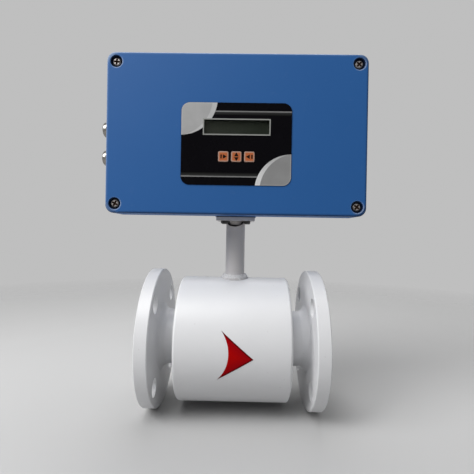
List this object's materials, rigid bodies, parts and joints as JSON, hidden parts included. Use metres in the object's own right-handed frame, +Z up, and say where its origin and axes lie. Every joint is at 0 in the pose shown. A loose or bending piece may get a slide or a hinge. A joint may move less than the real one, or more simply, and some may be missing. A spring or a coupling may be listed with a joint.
{
  "type": "electromagnetic flow meter",
  "caption": "Flanged electromagnetic flow meter: lined flow tube in a round coil housing, with a blue display head on a neck pipe.",
  "frame": {"origin": "on the flow axis, midway between the two sealing faces", "axes": "+X the flow direction, +Y away from the display side, +Z up along the neck"},
  "size_m": [0.2843, 0.152, 0.3728],
  "materials": {
    "white_paint": "gloss white enamel on steel",
    "blue_paint": "textured blue powder coat on die-cast aluminium",
    "liner_rubber": "hard rubber lining",
    "black_rubber": "matte",
    "soft_iron": "bare soft iron",
    "coil_copper": "enamelled copper winding",
    "stainless_steel": "turned stainless steel",
    "zinc_steel": "zinc plated steel",
    "black_steel": "black oxide steel",
    "nickel_plate": "nickel plated brass",
    "red_film": "gloss red film",
    "overlay_film": "printed polyester film",
    "clear_pane": "clear polycarbonate",
    "orange_key": "orange key cap",
    "lcd_face": "unlit display",
    "white_plastic": "moulded plastic",
    "black_plastic": "moulded plastic",
    "green_plastic": "moulded plastic",
    "circuit_board": "green solder mask"
  },
  "bodies": {
    "meter": {"measuring_pipe": "white_paint", "liner": "liner_rubber", "inlet_flange": "white_paint", "outlet_flange": "white_paint", "flange_welds": "white_paint", "end_plate_welds": "white_paint", "coil_housing": "white_paint", "inlet_end_plate": "white_paint", "outlet_end_plate": "white_paint", "upper_pole_core": "soft_iron", "lower_pole_core": "soft_iron", "upper_coil": "coil_copper", "lower_coil": "coil_copper", "return_yoke": "soft_iron", "rear_electrode": "stainless_steel", "front_electrode": "stainless_steel", "rear_electrode_bush": "white_plastic", "front_electrode_bush": "white_plastic", "electrode_nuts": "stainless_steel", "flow_arrow": "red_film", "neck_pipe": "white_paint", "neck_plate": "white_paint", "neck_gasket": "black_rubber", "neck_bolts": "black_steel", "neck_nuts": "zinc_steel", "enclosure_base": "blue_paint", "enclosure_cover": "blue_paint", "cover_gasket": "black_rubber", "cover_screws": "zinc_steel", "front_overlay": "overlay_film", "display_window": "clear_pane", "lcd_bezel": "black_steel", "lcd_glass": "lcd_face", "lcd_board": "circuit_board", "lcd_spacers": "white_plastic", "display_board": "circuit_board", "key_switches": "black_plastic", "display_screws": "zinc_steel", "main_board": "circuit_board", "board_screws": "zinc_steel", "transformer": "soft_iron", "terminal_strip": "green_plastic", "capacitors": "black_plastic", "processor": "black_plastic", "lower_gland_washer": "black_rubber", "lower_gland_body": "nickel_plate", "lower_gland_seal": "black_rubber", "lower_gland_locknut": "nickel_plate", "upper_gland_washer": "black_rubber", "upper_gland_body": "nickel_plate", "upper_gland_seal": "black_rubber", "upper_gland_locknut": "nickel_plate"},
    "left_key": {"left_key": "orange_key"},
    "middle_key": {"middle_key": "orange_key"},
    "right_key": {"right_key": "orange_key"},
    "lower_gland_nut": {"lower_gland_nut": "nickel_plate"},
    "upper_gland_nut": {"upper_gland_nut": "nickel_plate"}
  },
  "joints": [
    {"name": "left_key_press", "type": "slide", "parent": "meter", "child": "left_key", "axis": [0, 1, 0], "range_m": [0, 0.0005], "stiffness_N_per_m": 400},
    {"name": "middle_key_press", "type": "slide", "parent": "meter", "child": "middle_key", "axis": [0, 1, 0], "range_m": [0, 0.0005], "stiffness_N_per_m": 400},
    {"name": "right_key_press", "type": "slide", "parent": "meter", "child": "right_key", "axis": [0, 1, 0], "range_m": [0, 0.0005], "stiffness_N_per_m": 400},
    {"name": "lower_gland_nut_turn", "type": "hinge", "parent": "meter", "child": "lower_gland_nut", "pos_m": [-0.145, 0.006, 0.202], "axis": [-1, 0, 0], "range_deg": [0, 720]},
    {"name": "upper_gland_nut_turn", "type": "hinge", "parent": "meter", "child": "upper_gland_nut", "pos_m": [-0.145, 0.006, 0.2345], "axis": [-1, 0, 0], "range_deg": [0, 720]}
  ]
}
